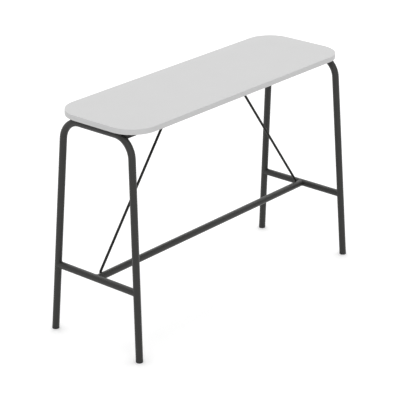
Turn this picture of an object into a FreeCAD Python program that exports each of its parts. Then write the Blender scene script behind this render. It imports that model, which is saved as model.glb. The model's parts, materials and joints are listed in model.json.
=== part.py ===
"""Standing meeting table: a laminate top on two bent-tube end frames.

Millimetres, +Z up. X runs along the table, -Y is the front, and the origin
lies on the floor under the middle of the top.

Each end frame is one tube bent to an inverted U. It leans, so that its feet
stand further out than its top tube, and its legs also spread front to back.
A footrail is let in between the legs of each frame, and a stretcher joins the
two footrails. Two rectangular rails and two straps under the top carry the
screws, and two thin rods brace the frame from the stretcher up to the straps.
"""
import FreeCAD, Part
import math
import os

import Sketcher
from FreeCAD import Placement, Rotation, Vector

# name in the sheet, value (mm) or formula, what it is
SIZES = [
    ("table_height", 1060.0, "floor to the upper face of the top"),
    ("top_length", 1500.0, "top, left to right"),
    ("top_width", 485.0, "top, front to back"),
    ("corner_radius", 130.0, "rounded corners of the top, outside the edging"),
    ("core_thickness", 23.4, "particle board"),
    ("laminate_thickness", 0.8, "face and backing laminates"),
    ("edging_thickness", 2.0, "edging strip glued round the board"),
    ("edging_round", 1.5, "rounding of the edging's two outer corners"),
    ("tube_diameter", 33.0, "end frames, footrails and stretcher"),
    ("tube_wall", 2.0, "wall of every round tube"),
    ("bend_radius", 96.0, "centre line of the end frame's two bends"),
    ("foot_beyond_end", 9.0, "leg axis at the floor, out past the end of the top"),
    ("foot_beyond_side", 15.5, "leg axis at the floor, out past the side of the top"),
    ("crown_end_inset", 27.5, "axis of the top tube, in from the end of the top"),
    ("crown_side_inset", 45.5, "where leg and top tube axes cross, in from the side"),
    ("foot_reach_x", "=top_length / 2 + foot_beyond_end", "leg axis at the floor, from the middle"),
    ("foot_reach_y", "=top_width / 2 + foot_beyond_side", "leg axis at the floor, from the middle"),
    ("crown_reach_x", "=top_length / 2 - crown_end_inset", "axis of the top tube, from the middle"),
    ("crown_reach_y", "=top_width / 2 - crown_side_inset", "where the two axes cross, from the middle"),
    ("footrail_height", 322.0, "axis of footrails and stretcher"),
    ("weld_gap", 0.2, "root gap at a welded joint"),
    ("rail_reach_y", 150.0, "middle of an under-top rail"),
    ("rail_depth", 30.0, "under-top rail, upright side"),
    ("rail_breadth", 20.0, "under-top rail, flat side"),
    ("rail_wall", 1.5, "under-top rail"),
    ("strap_reach_x", 200.0, "middle of a strap"),
    ("strap_breadth", 40.0, "strap, left to right"),
    ("strap_thickness", 5.0, "strap"),
    ("rod_diameter", 12.0, "brace rod"),
    ("rod_reach_y", 12.0, "axis of a brace rod, behind the stretcher's axis"),
    ("rod_foot_inset", 48.0, "upright end of a brace rod, in from the foot of the leg"),
    ("rod_foot_x", "=foot_reach_x - rod_foot_inset", "upright end of a brace rod, from the middle"),
    ("rod_foot_rise", 8.0, "lower end of the rod, above the stretcher's axis"),
    ("rod_upright", 10.0, "upright end of the rod, up to where it turns"),
    ("rod_bend_radius", 14.0, "centre line of the turn in a brace rod"),
    ("rod_cut_reach", 20.0, "size of the cut that levels a rod's upper end"),
    ("plug_head", 12.0, "part of a foot plug that shows below the tube"),
    ("plug_chamfer", 1.2, "round the sole of a foot plug"),
    ("plug_stem", 26.0, "part of a foot plug inside the tube"),
    ("plug_skirt", 2.2, "wall of the plug's hollow stem"),
    ("plug_rib", 1.4, "height of one rib on the stem"),
    ("plug_rib_pitch", 6.0, "from rib to rib"),
    ("plug_fit", 0.1, "clearance of the ribs in the tube"),
    ("plug_spare", 8.0, "length under the sole that the level cut takes off"),
    ("screw_diameter", 6.0, "machine screws that hold the top"),
    ("screw_clearance", 0.5, "hole over screw, across"),
    ("screw_bite", 10.0, "length of the screw inside the top"),
    ("screw_end_gap", 2.0, "from the screw's end to the bottom of its bore"),
    ("screw_head_diameter", 11.0, "button head"),
    ("screw_head_height", 3.3, "button head"),
    ("screw_head_rim", 0.6, "upright rim of the button head"),
    ("screw_tip_diameter", 4.5, "end of the machine screw"),
    ("screw_tip_length", 0.8, "chamfer at the end of the machine screw"),
    ("screw_socket", 4.0, "hexagon socket, across flats"),
    ("screw_socket_depth", 2.0, "hexagon socket"),
    ("screw_end_inset", 150.0, "outer screws, in from the end of the top"),
    ("screw_pitch_x", "=top_length / 2 - screw_end_inset", "outer screws, from the middle"),
    ("washer_diameter", 14.0, "under each button head"),
    ("washer_thickness", 1.6, "under each button head"),
    ("insert_diameter", 10.0, "threaded insert pressed into the board"),
    ("insert_play", 0.1, "bore of the insert over the screw, across"),
    ("wood_screw_diameter", 4.0, "short screws through the straps"),
    ("wood_screw_length", 18.0, "from under the head to the tip"),
    ("wood_screw_tip_diameter", 0.6, "blunt point of the wood screw"),
    ("wood_screw_tip_length", 4.0, "taper down to the point"),
    ("wood_screw_head_diameter", 8.0, "pan head"),
    ("wood_screw_head_height", 2.6, "pan head"),
    ("wood_screw_head_rim", 1.2, "upright rim of the pan head"),
    ("wood_screw_cross_span", 4.4, "cross recess, tip to tip"),
    ("wood_screw_cross_width", 0.9, "one arm of the cross recess"),
    ("wood_screw_cross_depth", 1.7, "cross recess"),
    ("wood_screw_reach_y", 85.0, "from the middle"),
]

doc = FreeCAD.newDocument("StandingMeetingTable")
sheet = doc.addObject("Spreadsheet::Sheet", "Sizes")
for row, (alias, value, note) in enumerate(SIZES, start=1):
    sheet.set("A%d" % row, alias)
    sheet.set("B%d" % row, str(value))
    sheet.setAlias("B%d" % row, alias)
    sheet.set("C%d" % row, note)
doc.recompute()

size = {alias: float(sheet.get(alias)) for alias, _, _ in SIZES}

# Lengths that follow from the sheet
top_thickness = size["core_thickness"] + 2 * size["laminate_thickness"]
underside = size["table_height"] - top_thickness
tube_radius = size["tube_diameter"] / 2
crown_height = underside - tube_radius
strap_underside = underside - size["strap_thickness"]
rail_underside = underside - size["rail_depth"]
insert_length = size["screw_bite"]
UNDERSIDE_RULE = "(Sizes.table_height - Sizes.core_thickness - 2 * Sizes.laminate_thickness)"

SIDES = (("left", -1), ("right", 1))
ENDS = (("front", -1), ("back", 1))
subparts = []


def name_it(item, label):
    """Give a finished sub-part the name that its file gets."""
    item.Label = label
    subparts.append(item)
    return item


def origin_plane(body, role):
    """One of the three planes of a body's own origin."""
    return next(item for item in body.Origin.OriginFeatures if item.Role == role)


def new_sketch(body, role, name):
    """An empty sketch on one of the body's own planes."""
    sketch = body.newObject("Sketcher::SketchObject", name)
    sketch.AttachmentSupport = [(origin_plane(body, role), "")]
    sketch.MapMode = "FlatFace"
    return sketch


def bind(sketch, index, name, expression):
    """Name a sketch constraint and tie it to the sheet."""
    sketch.renameConstraint(index, name)
    sketch.setExpression("Constraints." + name, expression)


def add_circle(sketch, name, diameter, diameter_rule, centre=(0.0, 0.0), centre_rules=("0", "0")):
    """A circle whose diameter and centre follow the sheet."""
    circle = sketch.addGeometry(Part.Circle(Vector(*centre, 0), Vector(0, 0, 1), diameter / 2), False)
    index = sketch.addConstraint(Sketcher.Constraint("Diameter", circle, diameter))
    bind(sketch, index, name + "_diameter", diameter_rule)
    for axis, place, rule in zip("XY", centre, centre_rules):
        if rule == "0":
            line = -2 if axis == "X" else -1
            sketch.addConstraint(Sketcher.Constraint("PointOnObject", circle, 3, line))
            continue
        index = sketch.addConstraint(Sketcher.Constraint("Distance" + axis, -1, 1, circle, 3, place))
        bind(sketch, index, name + "_" + axis.lower(), rule)


def add_rounded_rectangle(sketch, name, sizes, rules):
    """A centred rectangle with four equal round corners.

    sizes and rules give length, width and corner radius.
    """
    length, width, radius = sizes
    half_x, half_y = length / 2, width / 2
    flat_x, flat_y = half_x - radius, half_y - radius
    lines = [
        Part.LineSegment(Vector(-flat_x, -half_y, 0), Vector(flat_x, -half_y, 0)),
        Part.LineSegment(Vector(half_x, -flat_y, 0), Vector(half_x, flat_y, 0)),
        Part.LineSegment(Vector(flat_x, half_y, 0), Vector(-flat_x, half_y, 0)),
        Part.LineSegment(Vector(-half_x, flat_y, 0), Vector(-half_x, -flat_y, 0)),
    ]
    corners = [(flat_x, -flat_y), (flat_x, flat_y), (-flat_x, flat_y), (-flat_x, -flat_y)]
    sides = [sketch.addGeometry(line, False) for line in lines]
    arcs = []
    for quarter, (x, y) in enumerate(corners):
        circle = Part.Circle(Vector(x, y, 0), Vector(0, 0, 1), radius)
        start = (quarter - 1) * math.pi / 2
        arcs.append(sketch.addGeometry(Part.ArcOfCircle(circle, start, start + math.pi / 2), False))
    for index in range(4):
        following = sides[(index + 1) % 4]
        sketch.addConstraint(Sketcher.Constraint("Tangent", sides[index], 2, arcs[index], 1))
        sketch.addConstraint(Sketcher.Constraint("Tangent", arcs[index], 2, following, 1))
        kind = "Horizontal" if index % 2 == 0 else "Vertical"
        sketch.addConstraint(Sketcher.Constraint(kind, sides[index]))
    for arc in arcs[1:]:
        sketch.addConstraint(Sketcher.Constraint("Equal", arcs[0], arc))
    index = sketch.addConstraint(Sketcher.Constraint("Radius", arcs[0], radius))
    bind(sketch, index, name + "_radius", rules[2])
    distances = [
        ("right", "DistanceX", (-1, 1, sides[1], 1), half_x, rules[0]),
        ("left", "DistanceX", (sides[3], 1, -1, 1), half_x, rules[0]),
        ("back", "DistanceY", (-1, 1, sides[2], 1), half_y, rules[1]),
        ("front", "DistanceY", (sides[0], 1, -1, 1), half_y, rules[1]),
    ]
    for side, kind, points, half, rule in distances:
        index = sketch.addConstraint(Sketcher.Constraint(kind, *points, half))
        bind(sketch, index, name + "_" + side, "(" + rule + ") / 2")


def add_polygon(sketch, points, rules):
    """A closed outline whose corners each follow a pair of expressions."""
    count = len(points)
    lines = []
    for index in range(count):
        start = Vector(*points[index], 0)
        finish = Vector(*points[(index + 1) % count], 0)
        lines.append(sketch.addGeometry(Part.LineSegment(start, finish), False))
    for index in range(count):
        following = lines[(index + 1) % count]
        sketch.addConstraint(Sketcher.Constraint("Coincident", lines[index], 2, following, 1))
    for index, (point, pair) in enumerate(zip(points, rules)):
        for axis, place, rule in zip("XY", point, pair):
            if rule == "0":
                line = -2 if axis == "X" else -1
                sketch.addConstraint(Sketcher.Constraint("PointOnObject", lines[index], 1, line))
                continue
            kind = "Distance" + axis
            number = sketch.addConstraint(Sketcher.Constraint(kind, -1, 1, lines[index], 1, place))
            bind(sketch, number, "corner%d_%s" % (index, axis.lower()), rule)


def pad(body, sketch, name, rule, midplane=False):
    """Extrude a sketch by a length that follows the sheet."""
    feature = body.newObject("PartDesign::Pad", name)
    feature.Profile = sketch
    feature.Midplane = midplane
    feature.setExpression("Length", rule)
    sketch.Visibility = False
    return feature


def pocket(body, sketch, name, rule=None, reverse=False, midplane=False):
    """Cut a sketch out of the body, to a depth or right through."""
    feature = body.newObject("PartDesign::Pocket", name)
    feature.Profile = sketch
    feature.Reversed = reverse
    feature.Midplane = midplane
    if rule is None:
        feature.Type = "ThroughAll"
    else:
        feature.setExpression("Length", rule)
    return feature


def place(item, x=0.0, y=0.0, z=0.0, rotation=None):
    item.Placement = Placement(Vector(x, y, z), rotation or Rotation())
    return item


# ---------------------------------------------------------------- the top

SCREW_PLACES = [(x, y) for y in (-1, 1) for x in (-1, 0, 1)]
WOOD_SCREW_PLACES = [(x, y) for x in (-1, 1) for y in (-1, 1)]


def add_hole_circles(sketch, places, reach, rules, diameter, diameter_rule):
    """One circle at each place, a place being a pair of -1, 0 and 1."""
    for number, (side, end) in enumerate(places):
        centre = (side * reach[0], end * reach[1])
        centre_rules = (
            "0" if side == 0 else "%d * %s" % (side, rules[0]),
            "0" if end == 0 else "%d * %s" % (end, rules[1]),
        )
        add_circle(sketch, "hole%d" % number, diameter, diameter_rule, centre, centre_rules)


def insert_circles(sketch):
    add_hole_circles(
        sketch, SCREW_PLACES,
        (size["screw_pitch_x"], size["rail_reach_y"]),
        ("Sizes.screw_pitch_x", "Sizes.rail_reach_y"),
        size["insert_diameter"], "Sizes.insert_diameter",
    )


def wood_screw_circles(sketch):
    add_hole_circles(
        sketch, WOOD_SCREW_PLACES,
        (size["strap_reach_x"], size["wood_screw_reach_y"]),
        ("Sizes.strap_reach_x", "Sizes.wood_screw_reach_y"),
        size["wood_screw_diameter"], "Sizes.wood_screw_diameter",
    )


def board_sizes():
    """Length, width and corner radius of the board inside its edging."""
    strip = size["edging_thickness"]
    return (size["top_length"] - 2 * strip, size["top_width"] - 2 * strip, size["corner_radius"] - strip)


BOARD_RULES = (
    "Sizes.top_length - 2 * Sizes.edging_thickness",
    "Sizes.top_width - 2 * Sizes.edging_thickness",
    "Sizes.corner_radius - Sizes.edging_thickness",
)


def board_layer(label, thickness_rule, bottom):
    """One flat layer of the top, with the outline of the board."""
    body = doc.addObject("PartDesign::Body", label)
    outline = new_sketch(body, "XY_Plane", label + "_outline")
    add_rounded_rectangle(outline, "board", board_sizes(), BOARD_RULES)
    pad(body, outline, label + "_layer", thickness_rule)
    place(body, z=bottom)
    return name_it(body, label)


def drill_from_below(body, label, add_circles, depth_rule):
    """Bores that open in the lower face of a layer."""
    circles = new_sketch(body, "XY_Plane", label)
    add_circles(circles)
    return pocket(body, circles, label + "_bores", depth_rule, reverse=True)


def make_top():
    laminate = size["laminate_thickness"]
    backing = board_layer("backing_laminate", "Sizes.laminate_thickness", underside)
    drill_from_below(backing, "backing_insert", insert_circles, "Sizes.laminate_thickness")
    drill_from_below(backing, "backing_pilot", wood_screw_circles, "Sizes.laminate_thickness")

    core = board_layer("top_core", "Sizes.core_thickness", underside + laminate)
    bore_depth = "Sizes.screw_bite + Sizes.screw_end_gap - Sizes.laminate_thickness"
    drill_from_below(core, "core_insert", insert_circles, bore_depth)
    pilot_depth = "Sizes.wood_screw_length - Sizes.strap_thickness - Sizes.laminate_thickness"
    drill_from_below(core, "core_pilot", wood_screw_circles, pilot_depth)

    board_layer("top_laminate", "Sizes.laminate_thickness", size["table_height"] - laminate)


def make_edging():
    """A strip round the board, with its two outer corners rounded."""
    body = doc.addObject("PartDesign::Body", "edge_band")
    outline = new_sketch(body, "XY_Plane", "edge_band_outline")
    outer = (size["top_length"], size["top_width"], size["corner_radius"])
    outer_rules = ("Sizes.top_length", "Sizes.top_width", "Sizes.corner_radius")
    add_rounded_rectangle(outline, "outer", outer, outer_rules)
    add_rounded_rectangle(outline, "inner", board_sizes(), BOARD_RULES)
    strip = pad(body, outline, "edge_band_strip", "Sizes.core_thickness + 2 * Sizes.laminate_thickness")
    doc.recompute()
    corners = []
    for face in strip.Shape.Faces:
        if abs(face.normalAt(0, 0).z) < 0.5:
            continue
        for rim in face.OuterWire.Edges:
            matches = [k for k, edge in enumerate(strip.Shape.Edges, start=1) if edge.isSame(rim)]
            corners.append("Edge%d" % matches[0])
    rounding = body.newObject("PartDesign::Fillet", "edge_band_rounding")
    rounding.Base = (strip, corners)
    rounding.setExpression("Radius", "Sizes.edging_round")
    place(body, z=underside)
    name_it(body, "edge_band")


# ------------------------------------------------------- bent end frames

# The frame is drawn upright in the plane x = 0 and then leaned over: its
# feet stay on the floor and its top tube moves in towards the middle.
lean_run = size["foot_reach_x"] - size["crown_reach_x"]
frame_height = math.hypot(crown_height, lean_run)
lean_angle = math.degrees(math.atan2(lean_run, crown_height))
LEAN_RULE = "(Sizes.foot_reach_x - Sizes.crown_reach_x)"
CROWN_RULE = "(%s - Sizes.tube_diameter / 2)" % UNDERSIDE_RULE
FRAME_HEIGHT_RULE = "sqrt(%s ^ 2 + %s ^ 2)" % (CROWN_RULE, LEAN_RULE)


def frame_place(side):
    """Where an end frame stands, leaning in by lean_angle."""
    return Placement(
        Vector(side * size["foot_reach_x"], 0, 0),
        Rotation(Vector(0, 1, 0), -side * lean_angle),
    )


def leg_direction(side, end):
    """Unit vector up along one leg's axis."""
    rise = Vector(
        -side * lean_run,
        -end * (size["foot_reach_y"] - size["crown_reach_y"]),
        crown_height,
    )
    return rise.normalize()


def add_frame_path(sketch):
    """Half of the frame's centre line: top tube, bend and leg.

    The sketch's X is the table's Y. The leg line ends where the foot plug's
    head begins.
    """
    crown = Vector(size["crown_reach_y"], frame_height, 0)
    foot = Vector(size["foot_reach_y"], 0, 0)
    down = (foot - crown).normalize()
    half_corner = (math.pi - math.acos(down.dot(Vector(1, 0, 0)))) / 2
    tangent = size["bend_radius"] / math.tan(half_corner)
    bend_start = crown - Vector(tangent, 0, 0)
    bend_end = crown + down * tangent
    centre = bend_start - Vector(0, size["bend_radius"], 0)
    leg_end = foot - down * size["plug_head"]
    middle = Vector(0, frame_height, 0)
    to_start = math.pi / 2
    to_end = math.atan2(bend_end.y - centre.y, bend_end.x - centre.x)

    tube = sketch.addGeometry(Part.LineSegment(middle, bend_start), False)
    circle = Part.Circle(centre, Vector(0, 0, 1), size["bend_radius"])
    bend = sketch.addGeometry(Part.ArcOfCircle(circle, to_end, to_start), False)
    leg = sketch.addGeometry(Part.LineSegment(bend_end, leg_end), False)
    axis = sketch.addGeometry(Part.LineSegment(crown, foot), True)

    sketch.addConstraint(Sketcher.Constraint("PointOnObject", tube, 1, -2))
    sketch.addConstraint(Sketcher.Constraint("Horizontal", tube))
    sketch.addConstraint(Sketcher.Constraint("Tangent", tube, 2, bend, 2))
    sketch.addConstraint(Sketcher.Constraint("Tangent", bend, 1, leg, 1))
    sketch.addConstraint(Sketcher.Constraint("PointOnObject", axis, 1, tube))
    sketch.addConstraint(Sketcher.Constraint("PointOnObject", axis, 2, -1))
    sketch.addConstraint(Sketcher.Constraint("PointOnObject", leg, 1, axis))
    sketch.addConstraint(Sketcher.Constraint("PointOnObject", leg, 2, axis))
    tied = [
        ("height", ("DistanceY", -1, 1, tube, 1), frame_height, FRAME_HEIGHT_RULE),
        ("bend_radius", ("Radius", bend), size["bend_radius"], "Sizes.bend_radius"),
        ("crown_reach", ("DistanceX", -1, 1, axis, 1), crown.x, "Sizes.crown_reach_y"),
        ("foot_reach", ("DistanceX", -1, 1, axis, 2), foot.x, "Sizes.foot_reach_y"),
        ("plug_head", ("Distance", leg, 2, axis, 2), size["plug_head"], "Sizes.plug_head"),
    ]
    for name, shape, value, rule in tied:
        index = sketch.addConstraint(Sketcher.Constraint(*shape, value))
        bind(sketch, index, name, rule)


def frame_tube(name, side, diameters):
    """The bent tube of one end frame, or the room that it fills.

    diameters holds a (name, value, rule) for the outside and, for a real
    tube, the bore.
    """
    body = doc.addObject("PartDesign::Body", name)
    path = new_sketch(body, "YZ_Plane", name + "_centre_line")
    add_frame_path(path)
    section = new_sketch(body, "XZ_Plane", name + "_section")
    for circle_name, diameter, rule in diameters:
        centre = (0.0, frame_height)
        add_circle(section, circle_name, diameter, rule, centre, ("0", FRAME_HEIGHT_RULE))
    half = body.newObject("PartDesign::AdditivePipe", name + "_half")
    half.Profile = section
    half.Spine = path
    mirrored = body.newObject("PartDesign::Mirrored", name + "_both_halves")
    mirrored.Originals = [half]
    mirrored.MirrorPlane = (origin_plane(body, "XZ_Plane"), [""])
    body.Tip = mirrored
    body.Placement = frame_place(side)
    return body


def make_frames():
    """The two end frames, and for each the room it fills with its weld gap."""
    outside = ("outside", size["tube_diameter"], "Sizes.tube_diameter")
    bore_size = size["tube_diameter"] - 2 * size["tube_wall"]
    bore = ("bore", bore_size, "Sizes.tube_diameter - 2 * Sizes.tube_wall")
    room_size = size["tube_diameter"] + 2 * size["weld_gap"]
    room = ("room", room_size, "Sizes.tube_diameter + 2 * Sizes.weld_gap")
    rooms = {}
    for side_name, side in SIDES:
        name_it(frame_tube("frame_" + side_name, side, [outside, bore]), "frame_" + side_name)
        rooms[side] = frame_tube("frame_room_" + side_name, side, [room])
    return rooms


# ------------------------------------------------ footrails and stretcher

def leg_axis_at(height):
    """Distance of a leg's axis from the middle, in X and in Y, at a height."""
    share = height / crown_height
    x = size["foot_reach_x"] - share * lean_run
    y = size["foot_reach_y"] - share * (size["foot_reach_y"] - size["crown_reach_y"])
    return x, y


footrail_x, footrail_half = leg_axis_at(size["footrail_height"])
SHARE_RULE = "Sizes.footrail_height / " + CROWN_RULE
FOOTRAIL_X_RULE = "(Sizes.foot_reach_x - %s * %s)" % (SHARE_RULE, LEAN_RULE)
FOOTRAIL_HALF_RULE = (
    "(Sizes.foot_reach_y - %s * (Sizes.foot_reach_y - Sizes.crown_reach_y))" % SHARE_RULE
)
ALONG_X = Rotation(Vector(0, 1, 0), 90)
ALONG_Y = Rotation(Vector(1, 0, 0), -90)


def cylinder(name, radius_rule, length_rule, rotation, start):
    """A Part cylinder that starts at a point and runs the way it is turned."""
    item = doc.addObject("Part::Cylinder", name)
    item.setExpression("Radius", radius_rule)
    item.setExpression("Height", length_rule)
    return place(item, *start, rotation)


def cut(name, base, tool):
    item = doc.addObject("Part::Cut", name)
    item.Base = base
    item.Tool = tool
    return item


def straight_tube(name, length_rule, rotation, start):
    outside = cylinder(name + "_outside", "Sizes.tube_diameter / 2", length_rule, rotation, start)
    bore_rule = "Sizes.tube_diameter / 2 - Sizes.tube_wall"
    bore = cylinder(name + "_bore", bore_rule, length_rule, rotation, start)
    return cut(name + "_tube", outside, bore)


def make_footrails(frame_rooms):
    """A tube between the legs of each frame, its ends coped to the legs."""
    for side_name, side in SIDES:
        name = "footrail_" + side_name
        start = (side * footrail_x, -footrail_half, size["footrail_height"])
        tube = straight_tube(name, "2 * " + FOOTRAIL_HALF_RULE, ALONG_Y, start)
        name_it(cut(name, tube, frame_rooms[side]), name)


def make_stretcher():
    """The long tube between the footrails, its ends coped to them."""
    start = (-footrail_x, 0, size["footrail_height"])
    item = straight_tube("stretcher", "2 * " + FOOTRAIL_X_RULE, ALONG_X, start)
    for side_name, side in SIDES:
        room = cylinder(
            "footrail_room_" + side_name,
            "Sizes.tube_diameter / 2 + Sizes.weld_gap",
            "2 * " + FOOTRAIL_HALF_RULE,
            ALONG_Y,
            (side * footrail_x, -footrail_half, size["footrail_height"]),
        )
        item = cut("stretcher_coped_" + side_name, item, room)
    name_it(item, "stretcher")


# -------------------------------------------------- rails and straps

def make_rails(frame_rooms):
    """Two rectangular tubes under the top, coped to the bends of the frames."""
    outer = (size["rail_breadth"], size["rail_depth"], 2 * size["rail_wall"])
    outer_rules = ("Sizes.rail_breadth", "Sizes.rail_depth", "2 * Sizes.rail_wall")
    wall = size["rail_wall"]
    inner = (size["rail_breadth"] - 2 * wall, size["rail_depth"] - 2 * wall, wall)
    inner_rules = (
        "Sizes.rail_breadth - 2 * Sizes.rail_wall",
        "Sizes.rail_depth - 2 * Sizes.rail_wall",
        "Sizes.rail_wall",
    )
    for end_name, end in ENDS:
        name = "under_rail_" + end_name
        body = doc.addObject("PartDesign::Body", name + "_blank")
        section = new_sketch(body, "YZ_Plane", name + "_section")
        add_rounded_rectangle(section, "outer", outer, outer_rules)
        add_rounded_rectangle(section, "inner", inner, inner_rules)
        pad(body, section, name + "_length", "2 * Sizes.crown_reach_x", midplane=True)
        holes = new_sketch(body, "XY_Plane", name + "_screw_holes")
        hole_size = size["screw_diameter"] + size["screw_clearance"]
        hole_rule = "Sizes.screw_diameter + Sizes.screw_clearance"
        add_hole_circles(
            holes, [(-1, 0), (0, 0), (1, 0)],
            (size["screw_pitch_x"], 0.0), ("Sizes.screw_pitch_x", "0"), hole_size, hole_rule,
        )
        pocket(body, holes, name + "_holes", midplane=True)
        place(body, y=end * size["rail_reach_y"], z=underside - size["rail_depth"] / 2)
        coped = cut(name + "_coped_left", body, frame_rooms[-1])
        name_it(cut(name, coped, frame_rooms[1]), name)


def make_straps():
    """Flat bars from rail to rail, flush under the top."""
    for side_name, side in SIDES:
        name = "strap_" + side_name
        body = doc.addObject("PartDesign::Body", name)
        outline = new_sketch(body, "XY_Plane", name + "_outline")
        half_x = size["strap_breadth"] / 2
        half_y = size["rail_reach_y"] - size["rail_breadth"] / 2 - size["weld_gap"]
        rule_x = "Sizes.strap_breadth / 2"
        rule_y = "(Sizes.rail_reach_y - Sizes.rail_breadth / 2 - Sizes.weld_gap)"
        corners = [(-1, -1), (1, -1), (1, 1), (-1, 1)]
        add_polygon(
            outline,
            [(x * half_x, y * half_y) for x, y in corners],
            [("%d * %s" % (x, rule_x), "%d * %s" % (y, rule_y)) for x, y in corners],
        )
        pad(body, outline, name + "_bar", "Sizes.strap_thickness")
        holes = new_sketch(body, "XY_Plane", name + "_screw_holes")
        hole_size = size["wood_screw_diameter"] + size["screw_clearance"]
        hole_rule = "Sizes.wood_screw_diameter + Sizes.screw_clearance"
        add_hole_circles(
            holes, [(0, -1), (0, 1)],
            (0.0, size["wood_screw_reach_y"]), ("0", "Sizes.wood_screw_reach_y"), hole_size, hole_rule,
        )
        pocket(body, holes, name + "_holes", midplane=True)
        place(body, x=side * size["strap_reach_x"], z=strap_underside)
        name_it(body, name)


# ---------------------------------------------------------- brace rods

rod_foot_z = size["footrail_height"] + size["rod_foot_rise"]
rod_rise = strap_underside - rod_foot_z
rod_run = size["rod_foot_x"] - size["strap_reach_x"]
ROD_RISE_RULE = (
    "(%s - Sizes.strap_thickness - Sizes.footrail_height - Sizes.rod_foot_rise)" % UNDERSIDE_RULE
)
ROD_RUN_RULE = "(Sizes.rod_foot_x - Sizes.strap_reach_x)"


def add_rod_path(sketch):
    """Centre line of a brace rod, from its foot at the sketch's origin.

    It stands upright on the stretcher, turns, and runs up and in to the
    strap. The last stretch is longer by one rod diameter, to be cut level.
    """
    knee = Vector(0, size["rod_upright"], 0)
    head = Vector(rod_run, rod_rise, 0)
    slope = (head - knee).normalize()
    turn = math.acos(slope.dot(Vector(0, 1, 0)))
    tangent = size["rod_bend_radius"] * math.tan(turn / 2)
    bend_start = knee - Vector(0, tangent, 0)
    bend_end = knee + slope * tangent
    centre = bend_start + Vector(size["rod_bend_radius"], 0, 0)
    circle = Part.Circle(centre, Vector(0, 0, 1), size["rod_bend_radius"])
    top = head + slope * size["rod_diameter"]

    upright = sketch.addGeometry(Part.LineSegment(Vector(0, 0, 0), bend_start), False)
    bend = sketch.addGeometry(Part.ArcOfCircle(circle, math.pi - turn, math.pi), False)
    slant = sketch.addGeometry(Part.LineSegment(bend_end, top), False)
    axis = sketch.addGeometry(Part.LineSegment(knee, head), True)

    sketch.addConstraint(Sketcher.Constraint("Coincident", upright, 1, -1, 1))
    sketch.addConstraint(Sketcher.Constraint("Vertical", upright))
    sketch.addConstraint(Sketcher.Constraint("Tangent", upright, 2, bend, 2))
    sketch.addConstraint(Sketcher.Constraint("Tangent", bend, 1, slant, 1))
    sketch.addConstraint(Sketcher.Constraint("PointOnObject", axis, 1, -2))
    sketch.addConstraint(Sketcher.Constraint("PointOnObject", slant, 1, axis))
    sketch.addConstraint(Sketcher.Constraint("PointOnObject", slant, 2, axis))
    tied = [
        ("upright", ("DistanceY", -1, 1, axis, 1), knee.y, "Sizes.rod_upright"),
        ("bend_radius", ("Radius", bend), size["rod_bend_radius"], "Sizes.rod_bend_radius"),
        ("run", ("DistanceX", -1, 1, axis, 2), rod_run, ROD_RUN_RULE),
        ("rise", ("DistanceY", -1, 1, axis, 2), rod_rise, ROD_RISE_RULE),
        ("spare", ("Distance", slant, 2, axis, 2), size["rod_diameter"], "Sizes.rod_diameter"),
    ]
    for name, shape, value, rule in tied:
        index = sketch.addConstraint(Sketcher.Constraint(*shape, value))
        bind(sketch, index, name, rule)


def make_rods():
    """Two thin rods, bent upright at the lower end and coped to the stretcher."""
    reach = size["rod_cut_reach"]
    reach_rule = "Sizes.rod_cut_reach"
    for side_name, side in SIDES:
        name = "brace_rod_" + side_name
        body = doc.addObject("PartDesign::Body", name + "_blank")
        path = new_sketch(body, "XZ_Plane", name + "_centre_line")
        add_rod_path(path)
        section = new_sketch(body, "XY_Plane", name + "_section")
        add_circle(section, "rod", size["rod_diameter"], "Sizes.rod_diameter")
        rod = body.newObject("PartDesign::AdditivePipe", name + "_bar")
        rod.Profile = section
        rod.Spine = path
        level = new_sketch(body, "XZ_Plane", name + "_level_end")
        corners = [(-1, 0), (1, 0), (1, 1), (-1, 1)]
        add_polygon(
            level,
            [(rod_run + x * reach, rod_rise + z * reach) for x, z in corners],
            [
                ("%s + %d * %s" % (ROD_RUN_RULE, x, reach_rule),
                 "%s + %d * %s" % (ROD_RISE_RULE, z, reach_rule))
                for x, z in corners
            ],
        )
        pocket(body, level, name + "_levelled", midplane=True)
        turn = Rotation() if side < 0 else Rotation(Vector(0, 0, 1), 180)
        place(body, side * size["rod_foot_x"], size["rod_reach_y"], rod_foot_z, turn)
        stretcher_room = cylinder(
            "stretcher_room_" + side_name,
            "Sizes.tube_diameter / 2 + Sizes.weld_gap",
            "2 * " + FOOTRAIL_X_RULE,
            ALONG_X,
            (-footrail_x, 0, size["footrail_height"]),
        )
        name_it(cut(name, body, stretcher_room), name)


# ---------------------------------------------------------- foot plugs

bore_radius = tube_radius - size["tube_wall"]
rib_radius = bore_radius - size["plug_fit"]
stem_radius = rib_radius - size["plug_rib"]
BORE_RULE = "(Sizes.tube_diameter / 2 - Sizes.tube_wall)"
RIB_RULE = "(%s - Sizes.plug_fit)" % BORE_RULE
STEM_RULE = "(%s - Sizes.plug_rib)" % RIB_RULE
RIB_COUNT = 3


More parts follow.
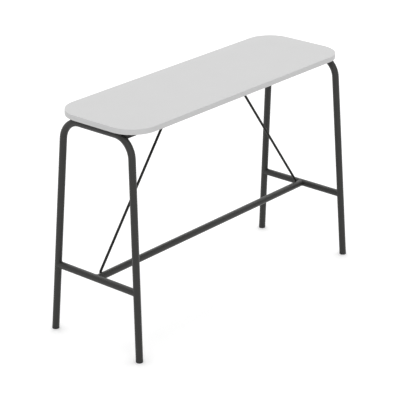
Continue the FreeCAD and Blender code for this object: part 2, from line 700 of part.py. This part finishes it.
def plug_profile():
    """Corners of the plug's half section, each with its two expressions.

    X is the distance from the leg's axis and Y the distance above the floor,
    along the axis. The head runs on below the floor, to be cut off level.
    """
    below = -size["plug_spare"]
    head = size["plug_head"]
    top = head + size["plug_stem"]
    hollow = stem_radius - size["plug_skirt"]
    hollow_rule = "(%s - Sizes.plug_skirt)" % STEM_RULE
    head_rule = "Sizes.plug_head"
    top_rule = "Sizes.plug_head + Sizes.plug_stem"
    corners = [
        ((0.0, below), ("0", "-Sizes.plug_spare")),
        ((tube_radius, below), ("Sizes.tube_diameter / 2", "-Sizes.plug_spare")),
        ((tube_radius, head), ("Sizes.tube_diameter / 2", head_rule)),
        ((stem_radius, head), (STEM_RULE, head_rule)),
    ]
    for rib in range(1, RIB_COUNT + 1):
        foot = head + rib * size["plug_rib_pitch"]
        tip = foot + size["plug_rib"]
        foot_rule = "Sizes.plug_head + %d * Sizes.plug_rib_pitch" % rib
        tip_rule = foot_rule + " + Sizes.plug_rib"
        corners += [
            ((stem_radius, foot), (STEM_RULE, foot_rule)),
            ((rib_radius, tip), (RIB_RULE, tip_rule)),
            ((stem_radius, tip), (STEM_RULE, tip_rule)),
        ]
    corners += [
        ((stem_radius, top), (STEM_RULE, top_rule)),
        ((hollow, top), (hollow_rule, top_rule)),
        ((hollow, head), (hollow_rule, head_rule)),
        ((0.0, head), ("0", head_rule)),
    ]
    return corners


def plug_place(side, end):
    """Stand a plug on the floor with its own Z along the leg.

    Its own X is turned so that the floor slopes along X only.
    """
    along = leg_direction(side, end)
    up = Vector(0, 0, 1)
    slope = (up - along * up.dot(along)).normalize()
    across = along.cross(slope)
    foot = Vector(side * size["foot_reach_x"], end * size["foot_reach_y"], 0)
    return Placement(foot, Rotation(slope, across, along, "ZXY"))


def make_plugs():
    """Ribbed plastic plugs in the feet, with soles cut level to the floor."""
    leg = leg_direction(1, 1)
    slope = math.tan(math.acos(leg.z))
    reach = size["tube_diameter"]
    slope_rule = (
        "sqrt(%s ^ 2 + (Sizes.foot_reach_y - Sizes.crown_reach_y) ^ 2) / %s" % (LEAN_RULE, CROWN_RULE)
    )
    for side_name, side in SIDES:
        for end_name, end in ENDS:
            name = "foot_plug_%s_%s" % (side_name, end_name)
            body = doc.addObject("PartDesign::Body", name)
            section = new_sketch(body, "XZ_Plane", name + "_section")
            corners = plug_profile()
            add_polygon(section, [point for point, _ in corners], [pair for _, pair in corners])
            turned = body.newObject("PartDesign::Revolution", name + "_turned")
            turned.Profile = section
            turned.ReferenceAxis = (section, ["V_Axis"])
            turned.Angle = 360
            sole = new_sketch(body, "XZ_Plane", name + "_sole")
            add_polygon(
                sole,
                [(-reach, slope * reach), (-reach, -reach), (reach, -reach), (reach, -slope * reach)],
                [
                    ("-Sizes.tube_diameter", "Sizes.tube_diameter * " + slope_rule),
                    ("-Sizes.tube_diameter", "-Sizes.tube_diameter"),
                    ("Sizes.tube_diameter", "-Sizes.tube_diameter"),
                    ("Sizes.tube_diameter", "-Sizes.tube_diameter * " + slope_rule),
                ],
            )
            levelled = pocket(body, sole, name + "_levelled", midplane=True)
            body.Placement = plug_place(side, end)
            doc.recompute()
            lowest = min(levelled.Shape.Faces, key=lambda face: face.CenterOfMass.z)
            rims = [
                "Edge%d" % number
                for number, edge in enumerate(levelled.Shape.Edges, start=1)
                if any(edge.isSame(rim) for rim in lowest.Edges)
            ]
            chamfer = body.newObject("PartDesign::Chamfer", name + "_chamfer")
            chamfer.Base = (levelled, rims)
            chamfer.setExpression("Size", "Sizes.plug_chamfer")
            name_it(body, name)


# ---------------------------------------------------------- fasteners

def at_each(shape, places, reach_x, reach_y, z):
    """Copies of one shape at each place, as a group of separate solids."""
    copies = []
    for side, end in places:
        copy = shape.copy()
        copy.translate(Vector(side * reach_x, end * reach_y, z))
        copies.append(copy)
    return Part.makeCompound(copies)


def fastener_group(label, shape, places, reach_x, reach_y, z):
    item = doc.addObject("Part::Feature", label)
    item.Shape = at_each(shape, places, reach_x, reach_y, z)
    name_it(item, label)


def turned_ring(profile):
    """Revolve a half section, given as (radius, height) corners."""
    points = [Vector(radius, 0, height) for radius, height in profile]
    wire = Part.makePolygon(points + points[:1])
    return Part.Face(wire).revolve(Vector(0, 0, 0), Vector(0, 0, 1), 360)


def turned_screw(kind, length):
    """Screw with a domed head, standing point up, its head's seat at height 0.

    kind is what the screw's names in the sheet begin with.
    """
    shank = size[kind + "_diameter"] / 2
    tip = size[kind + "_tip_diameter"] / 2
    tip_start = length - size[kind + "_tip_length"]
    head = size[kind + "_head_diameter"] / 2
    height = size[kind + "_head_height"]
    rim = size[kind + "_head_rim"]
    rise = height - rim
    sphere = (head ** 2 + rise ** 2) / (2 * rise)
    half_angle = math.asin(head / sphere) / 2
    crown = Vector(0, 0, -height)
    shoulder = crown + Vector(sphere * math.sin(half_angle), 0, sphere * (1 - math.cos(half_angle)))
    profile = [
        (head, -rim), (head, 0), (shank, 0), (shank, tip_start), (tip, length), (0, length), (0, -height),
    ]
    points = [Vector(radius, 0, z) for radius, z in profile]
    edges = [Part.Arc(crown, shoulder, points[0]).toShape()]
    edges += [Part.makeLine(start, finish) for start, finish in zip(points, points[1:])]
    return Part.Face(Part.Wire(edges)).revolve(Vector(0, 0, 0), Vector(0, 0, 1), 360)


def hexagon(across_flats, depth):
    corner = across_flats / math.sqrt(3)
    turns = [k * math.pi / 3 for k in range(6)]
    points = [Vector(corner * math.cos(turn), corner * math.sin(turn), 0) for turn in turns]
    return Part.Face(Part.makePolygon(points + points[:1])).extrude(Vector(0, 0, depth))


def cross(span, width, depth):
    """Two crossed bars, for the recess of a cross-head screw."""
    bar = Part.makeBox(span, width, depth, Vector(-span / 2, -width / 2, 0))
    other = Part.makeBox(width, span, depth, Vector(-width / 2, -span / 2, 0))
    return bar.fuse(other)


def button_screw():
    """Machine screw with a hexagon socket, up through washer, rail and insert."""
    length = size["washer_thickness"] + size["rail_depth"] + size["screw_bite"]
    socket = hexagon(size["screw_socket"], size["screw_socket_depth"])
    socket.translate(Vector(0, 0, -size["screw_head_height"]))
    return turned_screw("screw", length).cut(socket)


def wood_screw():
    """Cross-head screw, up through a strap into the board."""
    length = size["wood_screw_length"] - size["screw_end_gap"]
    recess = cross(
        size["wood_screw_cross_span"], size["wood_screw_cross_width"], size["wood_screw_cross_depth"],
    )
    recess.translate(Vector(0, 0, -size["wood_screw_head_height"]))
    return turned_screw("wood_screw", length).cut(recess)


def make_fasteners():
    reach_x = size["screw_pitch_x"]
    reach_y = size["rail_reach_y"]
    hole_radius = (size["screw_diameter"] + size["screw_clearance"]) / 2
    washer = turned_ring([
        (hole_radius, -size["washer_thickness"]),
        (size["washer_diameter"] / 2, -size["washer_thickness"]),
        (size["washer_diameter"] / 2, 0),
        (hole_radius, 0),
    ])
    fastener_group("rail_washers", washer, SCREW_PLACES, reach_x, reach_y, rail_underside)
    seat = rail_underside - size["washer_thickness"]
    fastener_group("rail_screws", button_screw(), SCREW_PLACES, reach_x, reach_y, seat)
    bore = (size["screw_diameter"] + size["insert_play"]) / 2
    outside = size["insert_diameter"] / 2
    insert = turned_ring([(bore, 0), (outside, 0), (outside, insert_length), (bore, insert_length)])
    fastener_group("threaded_inserts", insert, SCREW_PLACES, reach_x, reach_y, underside)
    fastener_group(
        "strap_screws", wood_screw(), WOOD_SCREW_PLACES,
        size["strap_reach_x"], size["wood_screw_reach_y"], strap_underside,
    )


def check_model():
    """Stop on any object that failed and any sub-part that isn't solid."""
    for item in doc.Objects:
        if "Invalid" in item.State or "Error" in item.State:
            raise RuntimeError("%s did not rebuild: %s" % (item.Label, item.State))
    for item in subparts:
        shape = item.Shape
        if shape.isNull() or not shape.isValid() or not shape.Solids:
            raise RuntimeError("%s is not a valid solid" % item.Label)


def export_all():
    os.makedirs("parts", exist_ok=True)
    for item in subparts:
        item.Shape.exportStep("parts/%s.step" % item.Label)
        box = item.Shape.BoundBox
        print(
            "%-24s %2d solids  %10.0f mm3  x %.1f..%.1f  y %.1f..%.1f  z %.1f..%.1f" % (
                item.Label, len(item.Shape.Solids), item.Shape.Volume,
                box.XMin, box.XMax, box.YMin, box.YMax, box.ZMin, box.ZMax,
            )
        )


make_top()
make_edging()
frame_rooms = make_frames()
make_footrails(frame_rooms)
make_stretcher()
make_rails(frame_rooms)
make_straps()
make_rods()
make_plugs()
make_fasteners()
doc.recompute()
check_model()
export_all()
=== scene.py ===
"""Finishes, welds, studio and camera for a standing meeting table.

Everything is in metres and in the frame of the CAD nodes: X along the table,
-Y the front, +Z up, and the floor at Z = 0.
"""
import bpy
import json
import math
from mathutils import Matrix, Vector


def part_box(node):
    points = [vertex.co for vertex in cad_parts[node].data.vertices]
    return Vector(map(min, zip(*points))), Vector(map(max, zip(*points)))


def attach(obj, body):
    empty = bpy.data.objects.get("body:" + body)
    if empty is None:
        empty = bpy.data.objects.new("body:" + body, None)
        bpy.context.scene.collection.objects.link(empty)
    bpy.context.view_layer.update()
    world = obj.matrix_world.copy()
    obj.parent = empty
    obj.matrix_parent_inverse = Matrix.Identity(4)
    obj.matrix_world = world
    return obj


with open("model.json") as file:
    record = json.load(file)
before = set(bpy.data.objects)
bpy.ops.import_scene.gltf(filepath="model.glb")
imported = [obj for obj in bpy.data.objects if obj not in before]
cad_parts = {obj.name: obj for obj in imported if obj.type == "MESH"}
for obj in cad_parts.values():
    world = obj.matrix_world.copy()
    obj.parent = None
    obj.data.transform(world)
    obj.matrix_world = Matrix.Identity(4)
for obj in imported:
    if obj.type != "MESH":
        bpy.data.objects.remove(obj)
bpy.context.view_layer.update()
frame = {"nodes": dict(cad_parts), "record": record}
nodes = frame["nodes"]

MM = 0.001
EVEN = (1.0, 1.0, 1.0)
WHITE = (1.0, 1.0, 1.0, 1.0)
BLACK = (0.0, 0.0, 0.0, 1.0)

# The sockets of a Mix node that mixes colours, by their places.
MIX_SHARE, MIX_FIRST, MIX_SECOND = 0, 6, 7
MIX_RESULT = 2

# ------------------------------------------------------------ node wrappers


class Number:
    """A number that changes over a surface: a socket with arithmetic."""

    def __init__(self, owner, socket):
        self.owner = owner
        self.socket = socket

    def math(self, operation, *values):
        """The result of a Math node; the operators below add theirs with it."""
        settings = {"operation": operation}
        node = self.owner.node("ShaderNodeMath", settings, dict(enumerate(values)))
        return Number(self.owner, node.outputs[0])

    def __add__(self, other):
        return self.math("ADD", self, other)

    def __radd__(self, other):
        return self.math("ADD", other, self)

    def __sub__(self, other):
        return self.math("SUBTRACT", self, other)

    def __rsub__(self, other):
        return self.math("SUBTRACT", other, self)

    def __mul__(self, other):
        return self.math("MULTIPLY", self, other)

    def __rmul__(self, other):
        return self.math("MULTIPLY", other, self)

    def __pow__(self, other):
        return self.math("POWER", self, other)

    def __abs__(self):
        return self.math("ABSOLUTE", self)

    def __gt__(self, other):
        return self.math("GREATER_THAN", self, other)

    def __lt__(self, other):
        return self.math("LESS_THAN", self, other)

    def at_least(self, other):
        return self.math("MAXIMUM", self, other)

    def at_most(self, other):
        return self.math("MINIMUM", self, other)

    def past(self, start, gain):
        """How far the number is past a start, times a gain, kept from 0 to 1."""
        return ((self - start) * gain).at_least(0.0).at_most(1.0)

    def blended(self, other, share):
        """The number with a share of another one in it."""
        return self * (1 - share) + other * share


class NodeTree:
    """A node tree and the one method that adds nodes to it."""

    def __init__(self, tree):
        self.tree = tree

    def node(self, kind, settings=None, sockets=None):
        """Add a node: its settings first, then the values or links of its sockets."""
        node = self.tree.nodes.new(kind)
        for name, value in (settings or {}).items():
            setattr(node, name, value)
        for name, value in (sockets or {}).items():
            self.feed(node.inputs[name], value)
        return node

    def feed(self, socket, value):
        """Link a number or an output to a socket, or set the socket's own value."""
        value = value.socket if isinstance(value, Number) else value
        if isinstance(value, bpy.types.NodeSocket):
            self.tree.links.new(value, socket)
        else:
            socket.default_value = value

    def in_view(self):
        """1 for what the camera, a mirror or glass shows, and 0 for lighting."""
        path = self.node("ShaderNodeLightPath")
        camera, glossy, transmission = (
            Number(self, path.outputs["Is %s Ray" % kind])
            for kind in ("Camera", "Glossy", "Transmission")
        )
        return camera.at_least(glossy).at_least(transmission)


class Finish(NodeTree):
    """A node material; its keywords are shader values that hold all over."""

    def __init__(self, name, **constants):
        self.material = bpy.data.materials.new(name)
        self.material.use_nodes = True
        super().__init__(self.material.node_tree)
        self.shader = self.tree.nodes["Principled BSDF"]
        for socket, value in constants.items():
            self.shader.inputs[socket.replace("_", " ")].default_value = value
        self.place = self.node("ShaderNodeTexCoord").outputs["Object"]

    def along(self):
        """The three coordinates, as numbers."""
        parts = self.node("ShaderNodeSeparateXYZ", None, {"Vector": self.place})
        return [Number(self, part) for part in parts.outputs]

    def pattern(self, kind, grain, stretch, **sockets):
        """A texture node whose grain is a length in metres.

        A stretch below 1 draws the pattern out along that axis.
        """
        mapping = {"Vector": self.place, "Scale": stretch}
        sockets["Vector"] = self.node("ShaderNodeMapping", None, mapping).outputs[0]
        sockets["Scale"] = 1 / grain
        return self.node(kind, None, sockets)

    def noise(self, grain, detail=2.0, stretch=EVEN):
        """Cloudy noise from 0 to 1."""
        texture = self.pattern("ShaderNodeTexNoise", grain, stretch, Detail=detail)
        return Number(self, texture.outputs[0])

    def cells(self, grain, stretch):
        """Cells side by side: the tone of each, and how far its middle is."""
        texture = self.pattern("ShaderNodeTexVoronoi", grain, stretch)
        tones = {"Color": texture.outputs["Color"]}
        tone = self.node("ShaderNodeSeparateColor", None, tones).outputs[0]
        return Number(self, tone), Number(self, texture.outputs["Distance"])

    def mix(self, share, first, second):
        """A colour between two others: the first at 0 and the second at 1."""
        sockets = {MIX_SHARE: share, MIX_FIRST: first, MIX_SECOND: second}
        node = self.node("ShaderNodeMix", {"data_type": "RGBA"}, sockets)
        return node.outputs[MIX_RESULT]

    def colour(self, value):
        self.feed(self.shader.inputs["Base Color"], value)

    def roughness(self, least, most, share):
        """Roughness from the least, where the share is 0, to the most."""
        self.feed(self.shader.inputs["Roughness"], least + (most - least) * share)

    def relief(self, height, depth):
        """Bumps whose height runs from 0 to 1, over a depth in metres."""
        sockets = {"Strength": 1.0, "Distance": depth, "Height": height}
        bump = self.node("ShaderNodeBump", None, sockets)
        self.feed(self.shader.inputs["Normal"], bump.outputs[0])


def grey(level, warmth=0.0):
    """A grey in linear light; warmth lowers its blue by that share."""
    return (level, level, level * (1 - warmth), 1.0)


# ---------------------------------------------------------------- finishes

# Colours in linear light. A pair runs from its first to its second colour.
FACE_GREYS = grey(0.632), grey(0.661)
PEARL_GREY = grey(0.575)
GLUE_GREY = grey(0.42)
BACK_GREYS = grey(0.54, 0.01), grey(0.60, 0.01)
EDGING_GREYS = grey(0.64), grey(0.67)
BUTT_JOINT_GREY = grey(0.30)
CHIP_BROWNS = (0.44, 0.29, 0.16, 1.0), (0.70, 0.53, 0.33, 1.0)
FLECK_BROWN = (0.20, 0.11, 0.055, 1.0)
PLUG_GREYS = grey(0.016), grey(0.024)
ZINC_TONES = (0.55, 0.57, 0.60, 1.0), (0.66, 0.66, 0.64, 1.0)
OXIDE_TONES = grey(0.022), (0.060, 0.052, 0.045, 1.0)

PEARL_STRENGTH = 0.45

# The glue line runs round the face laminate, inside the edging.
FACE_CORNER_RADIUS = 128 * MM
GLUE_LINE_WIDTH = 0.25 * MM
GLUE_LINE_STRENGTH = 0.5

# The edging's two ends meet at the back of the table.
BUTT_JOINT_X = 310 * MM
BUTT_JOINT_HALF_WIDTH = 0.12 * MM
BUTT_JOINT_STRENGTH = 0.6

FLECK_START = 0.86
FLECK_STRENGTH = 0.7

# Shades of a powder coat, times its own level.
COAT_CLOUD_SHADES = 0.9, 1.1
COAT_SPECK_SHADE = 3.0
COAT_SPECK_STRENGTH = 0.8
COAT_WARMTH = 0.10


def board_edge_distance(finish):
    """Distance inwards from the outline of the laminate, a rounded rectangle."""
    _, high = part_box("top_laminate")
    x, y, _ = finish.along()
    outside_x = abs(x) - (high.x - FACE_CORNER_RADIUS)
    outside_y = abs(y) - (high.y - FACE_CORNER_RADIUS)
    corner = (outside_x.at_least(0.0) ** 2 + outside_y.at_least(0.0) ** 2) ** 0.5
    inner = outside_x.at_least(outside_y).at_most(0.0)
    return FACE_CORNER_RADIUS - corner - inner


def face_laminate():
    """Matt pale grey laminate with a fine pearl grain and a thin glue line."""
    finish = Finish("face_laminate", Specular_IOR_Level=0.2)
    clouds = finish.noise(grain=180 * MM, detail=3.0)
    speckle = finish.noise(grain=0.9 * MM).past(start=0.45, gain=2.2)
    pearl = speckle * PEARL_STRENGTH
    grained = finish.mix(pearl, finish.mix(clouds, *FACE_GREYS), PEARL_GREY)
    glue = (board_edge_distance(finish) < GLUE_LINE_WIDTH) * GLUE_LINE_STRENGTH
    finish.colour(finish.mix(glue, grained, GLUE_GREY))
    finish.roughness(least=0.56, most=0.68, share=finish.noise(grain=6 * MM))
    finish.relief(finish.noise(grain=0.35 * MM, detail=3.0), depth=0.03 * MM)
    return finish.material


def back_laminate():
    """Plain balancing laminate under the board, a little darker and duller."""
    finish = Finish("back_laminate", Specular_IOR_Level=0.35)
    clouds = finish.noise(grain=90 * MM, detail=3.0)
    finish.colour(finish.mix(clouds, *BACK_GREYS))
    finish.roughness(least=0.6, most=0.75, share=finish.noise(grain=3 * MM))
    finish.relief(finish.noise(grain=0.5 * MM, detail=3.0), depth=0.05 * MM)
    return finish.material


def edge_strip():
    """Satin edging with faint lines along the strip and one butt joint behind."""
    finish = Finish("edge_strip", Specular_IOR_Level=0.45)
    x, y, _ = finish.along()
    lines = finish.noise(grain=0.6 * MM, stretch=(0.02, 0.02, 1.0))
    clouds = finish.noise(grain=140 * MM)
    tone = finish.mix(clouds.blended(lines, share=0.4), *EDGING_GREYS)
    joint = (abs(x - BUTT_JOINT_X) < BUTT_JOINT_HALF_WIDTH) * (y > 0.0)
    finish.colour(finish.mix(joint * BUTT_JOINT_STRENGTH, tone, BUTT_JOINT_GREY))
    finish.roughness(least=0.42, most=0.56, share=finish.noise(grain=4 * MM))
    finish.relief(lines, depth=0.03 * MM)
    return finish.material


def particle_board():
    """Pressed chips of wood in several browns."""
    finish = Finish("particle_board", Specular_IOR_Level=0.2)
    chip, chip_middle = finish.cells(grain=1.6 * MM, stretch=(0.5, 0.5, 1.6))
    fine, _ = finish.cells(grain=0.7 * MM, stretch=(0.7, 0.7, 1.5))
    flecks = (fine > FLECK_START) * FLECK_STRENGTH
    finish.colour(finish.mix(flecks, finish.mix(chip, *CHIP_BROWNS), FLECK_BROWN))
    finish.roughness(least=0.8, most=0.95, share=chip)
    rough = chip_middle.blended(finish.noise(grain=0.5 * MM), share=0.4)
    finish.relief(rough, depth=0.2 * MM)
    return finish.material


def charcoal_powder_coat(name, level, gloss):
    """Fine-textured powder coat: a dense grain over a slow orange peel."""
    finish = Finish(name, Specular_IOR_Level=gloss)
    darker, paler, speckled = (
        grey(shade * level, COAT_WARMTH)
        for shade in (*COAT_CLOUD_SHADES, COAT_SPECK_SHADE)
    )
    clouds = finish.noise(grain=60 * MM, detail=3.0)
    grain = finish.noise(grain=1.0 * MM, detail=3.0)
    peel = finish.noise(grain=3.2 * MM)
    speck = grain.past(start=0.5, gain=4.0) * COAT_SPECK_STRENGTH
    finish.colour(finish.mix(speck, finish.mix(clouds, darker, paler), speckled))
    finish.roughness(least=0.36, most=0.50, share=grain)
    finish.relief(grain.blended(peel, share=0.4), depth=0.4 * MM)
    return finish.material


def moulded_plug():
    """Black moulded plastic with a faint erosion texture."""
    finish = Finish("moulded_plug", Specular_IOR_Level=0.4)
    erosion = finish.noise(grain=0.4 * MM)
    finish.colour(finish.mix(finish.noise(grain=12 * MM), *PLUG_GREYS))
    finish.roughness(least=0.48, most=0.68, share=erosion)
    finish.relief(erosion, depth=0.05 * MM)
    return finish.material


def zinc_plate():
    """Bright zinc with a faint blue cast and turning marks."""
    finish = Finish("zinc_plate", Metallic=1.0)
    marks = finish.noise(grain=0.25 * MM)
    finish.colour(finish.mix(finish.noise(grain=4 * MM, detail=3.0), *ZINC_TONES))
    finish.roughness(least=0.26, most=0.44, share=marks)
    finish.relief(marks, depth=0.01 * MM)
    return finish.material


def black_oxide():
    """Oiled black oxide on the screws, a little browner where it is thin."""
    finish = Finish("black_oxide", Metallic=0.7)
    thin = finish.noise(grain=1.5 * MM, detail=3.0).past(start=0.5, gain=4.0)
    finish.colour(finish.mix(thin, *OXIDE_TONES))
    finish.roughness(least=0.38, most=0.58, share=finish.noise(grain=0.5 * MM))
    finish.relief(finish.noise(grain=0.3 * MM), depth=0.01 * MM)
    return finish.material


# The finishes of the record's slots, but for powder_coat, which has two.
SLOT_FINISHES = {
    "laminate": face_laminate(),
    "backing": back_laminate(),
    "edging": edge_strip(),
    "board": particle_board(),
    "plug": moulded_plug(),
    "zinc": zinc_plate(),
    "black_screw": black_oxide(),
}
TUBE_COAT = charcoal_powder_coat("charcoal_powder_coat", level=0.0125, gloss=0.42)
# A darker copy of the coat: painted shade on the rods, rails and straps, standing in
# for the shadow under the top.
SHADED_COAT_UNDER_TOP = charcoal_powder_coat("powder_coat_with_painted_shade", level=0.008, gloss=0.16)
NODES_WITH_PAINTED_SHADE = ("brace_rod", "under_rail", "strap_left", "strap_right")


def coat_of(node_name):
    """The powder coat of a steel node: the rods, rails and straps under the top get a
    darker copy, painted shade.
    """
    return SHADED_COAT_UNDER_TOP if node_name.startswith(NODES_WITH_PAINTED_SHADE) else TUBE_COAT


def finish_cad_nodes():
    """Give every CAD node the finish of its slot in the record."""
    for subpart in frame["record"]["subparts"]:
        name = subpart["node"]
        slot = subpart["material_slot"]
        finish = coat_of(name) if slot == "powder_coat" else SLOT_FINISHES[slot]
        nodes[name].data.materials.clear()
        nodes[name].data.materials.append(finish)


finish_cad_nodes()

# ------------------------------------------------------------------- welds

# How far each bead stands out from the two pieces that it joins.
TUBE_WELD_LEG = 2.0 * MM
RAIL_WELD_LEG = 1.6 * MM
STRAP_WELD_LEG = 1.2 * MM
ROD_FOOT_WELD_LEG = 1.4 * MM
ROD_HEAD_WELD_LEG = 1.6 * MM

# How a bead's surface is made even.
WELD_VOXEL = 0.5 * MM
WELD_CLOSING = 0.8 * MM
SMOOTHING_FACTOR = 0.5
SMOOTHING_ROUNDS = 8

# Corners of a CAD mesh that lie closer than this are one.
MERGE_DISTANCE = 0.005 * MM

# The bar that stands for a tube in a weld, longer than it at both ends.
BAR_SIDES = 96
BAR_OVERRUN = 4.0 * MM
BAR_ROUNDING = 8.0 * MM
BAR_ROUNDING_STEPS = 8


def select_only(piece):
    """Select one object and make it the active one."""
    bpy.ops.object.select_all(action="DESELECT")
    piece.select_set(True)
    bpy.context.view_layer.objects.active = piece


def apply_modifier(piece, kind, **settings):
    """Add a modifier, set it and apply it."""
    modifier = piece.modifiers.new(kind.lower(), kind)
    for name, value in settings.items():
        setattr(modifier, name, value)
    bpy.context.view_layer.objects.active = piece
    bpy.ops.object.modifier_apply(modifier=modifier.name)


def move_faces_out(piece, distance):
    """Move all faces outwards, or inwards where the distance is negative."""
    apply_modifier(piece, "DISPLACE", strength=distance, mid_level=0.0)


def swollen_copy(name, node_name, growth):
    """A merged copy of a CAD node's mesh, with its faces moved out."""
    copy = bpy.data.objects.new(name, nodes[node_name].data.copy())
    bpy.context.scene.collection.objects.link(copy)
    select_only(copy)
    bpy.ops.object.mode_set(mode="EDIT")
    bpy.ops.mesh.select_all(action="SELECT")
    bpy.ops.mesh.remove_doubles(threshold=MERGE_DISTANCE)
    bpy.ops.object.mode_set(mode="OBJECT")
    move_faces_out(copy, growth)
    return copy


def swollen_bar(name, node_name, growth):
    """A round bar over a straight tube node, thicker than it, with rounded ends."""
    low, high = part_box(node_name)
    length_x, length_y = high.x - low.x, high.y - low.y
    quarter_turn = math.pi / 2
    if length_x > length_y:
        length, turn = length_x, (0.0, quarter_turn, 0.0)
    else:
        length, turn = length_y, (quarter_turn, 0.0, 0.0)
    bpy.ops.object.select_all(action="DESELECT")
    bpy.ops.mesh.primitive_cylinder_add(
        vertices=BAR_SIDES,
        radius=(high.z - low.z) / 2 + growth,
        depth=length + 2 * BAR_OVERRUN,
        location=(low + high) / 2,
        rotation=turn,
    )
    bar = bpy.context.object
    bar.name = name
    bpy.ops.object.transform_apply(location=True, rotation=True, scale=True)
    apply_modifier(
        bar, "BEVEL",
        width=BAR_ROUNDING, segments=BAR_ROUNDING_STEPS, limit_method="ANGLE",
    )
    return bar


def weld(name, first, second, leg, shape=swollen_copy):
    """A smooth bead where two nodes meet: what their swollen shapes share.

    The bead is grown and shrunk again, which closes the creases in it.
    """
    bead = shape(name, first, leg)
    other = swollen_copy(name + "_tool", second, leg)
    apply_modifier(
        bead, "BOOLEAN", object=other, operation="INTERSECT", solver="EXACT",
    )
    bpy.data.objects.remove(other)
    apply_modifier(bead, "REMESH", mode="VOXEL", voxel_size=WELD_VOXEL)
    move_faces_out(bead, WELD_CLOSING)
    apply_modifier(bead, "REMESH", mode="VOXEL", voxel_size=WELD_VOXEL)
    move_faces_out(bead, -WELD_CLOSING)
    apply_modifier(bead, "SMOOTH", factor=SMOOTHING_FACTOR, iterations=SMOOTHING_ROUNDS)
    select_only(bead)
    bpy.ops.object.shade_smooth()
    bead.data.materials.clear()
    bead.data.materials.append(coat_of(first))
    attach(bead, "root")


def make_welds():
    """The beads of both end frames and of what they carry."""
    for side in ("left", "right"):
        tube = "frame_" + side
        footrail = "footrail_" + side
        strap = "strap_" + side
        rod = "brace_rod_" + side
        weld("weld_footrail_" + side, footrail, tube, TUBE_WELD_LEG, swollen_bar)
        weld(
            "weld_stretcher_" + side, "stretcher", footrail, TUBE_WELD_LEG, swollen_bar,
        )
        weld("weld_rod_foot_" + side, rod, "stretcher", ROD_FOOT_WELD_LEG)
        weld("weld_rod_head_" + side, rod, strap, ROD_HEAD_WELD_LEG)
        for end in ("front", "back"):
            rail = "under_rail_" + end
            weld("weld_rail_%s_%s" % (end, side), rail, tube, RAIL_WELD_LEG)
            weld("weld_strap_%s_%s" % (end, side), strap, rail, STRAP_WELD_LEG)


make_welds()

# --------------------------------------------------------- studio and camera

FLOOR_SIZE = 60.0
FLOOR_TONE = 0.80
FLOOR_ROUGHNESS = 0.9
FLOOR_GLOW = 0.39
CONTACT_REACH = 70 * MM
CONTACT_SAMPLES = 16

WORLD_LIGHT = 0.48
BACKDROP_LIGHT = 1.0

# Each lamp stands in its direction from the table and shines at it.
LAMP_SPREAD = math.radians(80.0)
BEHIND_DIRECTION, BEHIND_STRENGTH = (0.45, 0.4, 1.0), 1.5
FRONT_DIRECTION, FRONT_STRENGTH = (-0.9, -0.8, 0.5), 0.85

# The lens and the sensor are in millimetres, as a camera has them.
CAMERA_PLACE = (-5.6402, -4.7472, 3.5154)
CAMERA_TILT = math.radians(90 - 22.507)
CAMERA_TURN = math.radians(-49.691)
CAMERA_LENS = 153.07
CAMERA_SENSOR = 36.0


def make_floor():
    """A plain floor, white to the camera but for a faint shadow round the feet, partly
    real and partly painted into its glow.
    """
    bpy.ops.object.select_all(action="DESELECT")
    bpy.ops.mesh.primitive_plane_add(size=FLOOR_SIZE)
    floor = bpy.context.object
    floor.name = "studio_floor"
    finish = Finish(
        "studio_floor",
        Base_Color=grey(FLOOR_TONE),
        Roughness=FLOOR_ROUGHNESS,
        Specular_IOR_Level=0.0,
        Emission_Strength=FLOOR_GLOW,
    )
    # Painted shadow: the glow is darkened by ambient occlusion round the feet.
    painted_contact_shadow = finish.node(
        "ShaderNodeAmbientOcclusion",
        {"samples": CONTACT_SAMPLES},
        {"Distance": CONTACT_REACH},
    )
    glow = finish.mix(finish.in_view(), BLACK, painted_contact_shadow.outputs["Color"])
    finish.feed(finish.shader.inputs["Emission Color"], glow)
    floor.data.materials.append(finish.material)


def make_world():
    """Even white light, and a white background past the floor's edge."""
    world = bpy.data.worlds.new("studio_world")
    world.use_nodes = True
    bpy.context.scene.world = world
    sky = NodeTree(world.node_tree)
    light = sky.tree.nodes["Background"]
    sky.feed(light.inputs["Color"], WHITE)
    sky.feed(light.inputs["Strength"], WORLD_LIGHT)
    white = {"Color": WHITE, "Strength": BACKDROP_LIGHT}
    backdrop = sky.node("ShaderNodeBackground", None, white)
    parts = {0: sky.in_view(), 1: light.outputs[0], 2: backdrop.outputs[0]}
    mixed = sky.node("ShaderNodeMixShader", None, parts)
    sky.feed(sky.tree.nodes["World Output"].inputs["Surface"], mixed.outputs[0])


def add_soft_lamp(name, direction, strength):
    """A broad, even light that comes from one direction."""
    light = bpy.data.lights.new(name, "SUN")
    light.angle = LAMP_SPREAD
    light.energy = strength
    lamp = bpy.data.objects.new(name, light)
    bpy.context.scene.collection.objects.link(lamp)
    lamp.rotation_euler = Vector(direction).to_track_quat("Z", "Y").to_euler()


def make_camera():
    """The long lens that looks down on the table from the front left."""
    camera = bpy.data.objects.new("camera", bpy.data.cameras.new("camera"))
    bpy.context.scene.collection.objects.link(camera)
    camera.location = CAMERA_PLACE
    camera.rotation_euler = (CAMERA_TILT, 0.0, CAMERA_TURN)
    camera.data.sensor_width = CAMERA_SENSOR
    camera.data.lens = CAMERA_LENS
    bpy.context.scene.camera = camera


make_floor()
make_world()
add_soft_lamp("lamp_behind", BEHIND_DIRECTION, BEHIND_STRENGTH)
add_soft_lamp("lamp_front", FRONT_DIRECTION, FRONT_STRENGTH)
make_camera()

bpy.context.scene.view_settings.view_transform = "Standard"
